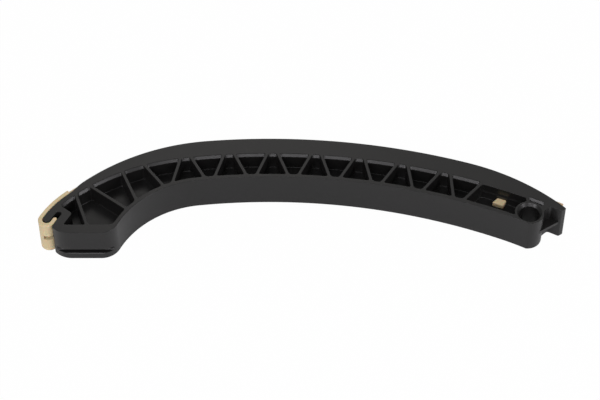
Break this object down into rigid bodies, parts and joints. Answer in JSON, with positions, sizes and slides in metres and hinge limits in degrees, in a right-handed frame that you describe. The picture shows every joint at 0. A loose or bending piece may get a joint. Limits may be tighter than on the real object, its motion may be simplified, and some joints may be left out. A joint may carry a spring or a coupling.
{
  "type": "timing chain guide",
  "caption": "Curved guide rail with a truss-ribbed moulded body, side walls along a pale slide lining, a pivot boss and a flat pad.",
  "frame": {"origin": "under the middle of the part's box, on the side face that the rail lies on", "axes": "+X along the rail towards the pivot, +Y towards the chain, +Z across the rail's width, along the pivot bore"},
  "size_m": [0.255, 0.0616, 0.019],
  "materials": {
    "rail_body": "satin moulded glass-filled polyamide",
    "slide_lining": "satin natural polyamide"
  },
  "bodies": {
    "root": {"rail_body": "rail_body", "slide_lining": "slide_lining"}
  },
  "joints": []
}
